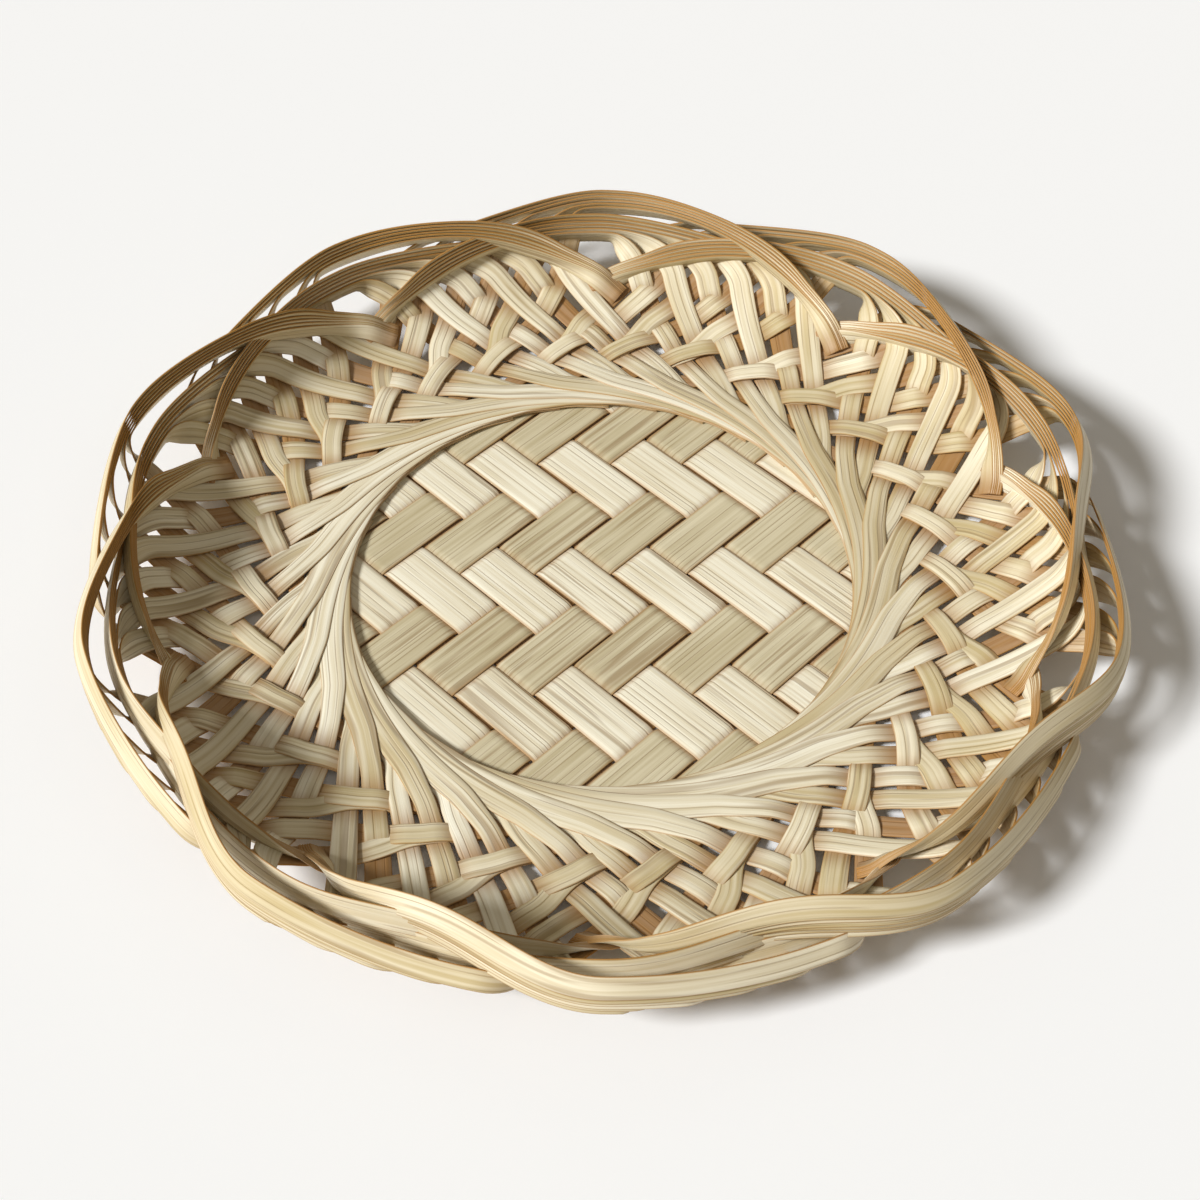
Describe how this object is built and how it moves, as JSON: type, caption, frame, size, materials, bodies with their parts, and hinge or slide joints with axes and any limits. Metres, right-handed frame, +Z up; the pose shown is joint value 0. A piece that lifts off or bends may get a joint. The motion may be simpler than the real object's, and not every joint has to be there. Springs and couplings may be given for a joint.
{
  "type": "woven bamboo tray",
  "caption": "Shallow round tray plaited from split bamboo, with a twill base, a woven sloping wall and an open looped rim of crossing arches.",
  "frame": {"origin": "middle of the underside of the base, on the surface that the tray stands on", "axes": "+Z up out of the tray; +X to the right and -Y towards the viewer of the picture"},
  "size_m": [0.2356, 0.2418, 0.0242],
  "materials": {
    "light_mat_bamboo": "bare split bamboo, satin",
    "tan_mat_bamboo": "bare split bamboo, satin",
    "left_splint_bamboo": "bare split bamboo, satin",
    "right_splint_bamboo": "bare split bamboo, satin"
  },
  "bodies": {
    "root": {"base_light_strip_01": "light_mat_bamboo", "base_light_strip_02": "light_mat_bamboo", "base_light_strip_03": "light_mat_bamboo", "base_light_strip_04": "light_mat_bamboo", "base_light_strip_05": "light_mat_bamboo", "base_light_strip_06": "light_mat_bamboo", "base_light_strip_07": "light_mat_bamboo", "base_light_strip_08": "light_mat_bamboo", "base_light_strip_09": "light_mat_bamboo", "base_light_strip_10": "light_mat_bamboo", "base_tan_strip_01": "tan_mat_bamboo", "base_tan_strip_02": "tan_mat_bamboo", "base_tan_strip_03": "tan_mat_bamboo", "base_tan_strip_04": "tan_mat_bamboo", "base_tan_strip_05": "tan_mat_bamboo", "base_tan_strip_06": "tan_mat_bamboo", "base_tan_strip_07": "tan_mat_bamboo", "base_tan_strip_08": "tan_mat_bamboo", "base_tan_strip_09": "tan_mat_bamboo", "base_tan_strip_10": "tan_mat_bamboo", "left_loop_01": "left_splint_bamboo", "left_loop_02": "left_splint_bamboo", "left_loop_03": "left_splint_bamboo", "left_loop_04": "left_splint_bamboo", "left_loop_05": "left_splint_bamboo", "left_loop_06": "left_splint_bamboo", "left_loop_07": "left_splint_bamboo", "left_loop_08": "left_splint_bamboo", "left_loop_09": "left_splint_bamboo", "left_loop_10": "left_splint_bamboo", "right_loop_01": "right_splint_bamboo", "right_loop_02": "right_splint_bamboo", "right_loop_03": "right_splint_bamboo", "right_loop_04": "right_splint_bamboo", "right_loop_05": "right_splint_bamboo", "right_loop_06": "right_splint_bamboo", "right_loop_07": "right_splint_bamboo", "right_loop_08": "right_splint_bamboo", "right_loop_09": "right_splint_bamboo", "right_loop_10": "right_splint_bamboo"}
  },
  "joints": []
}
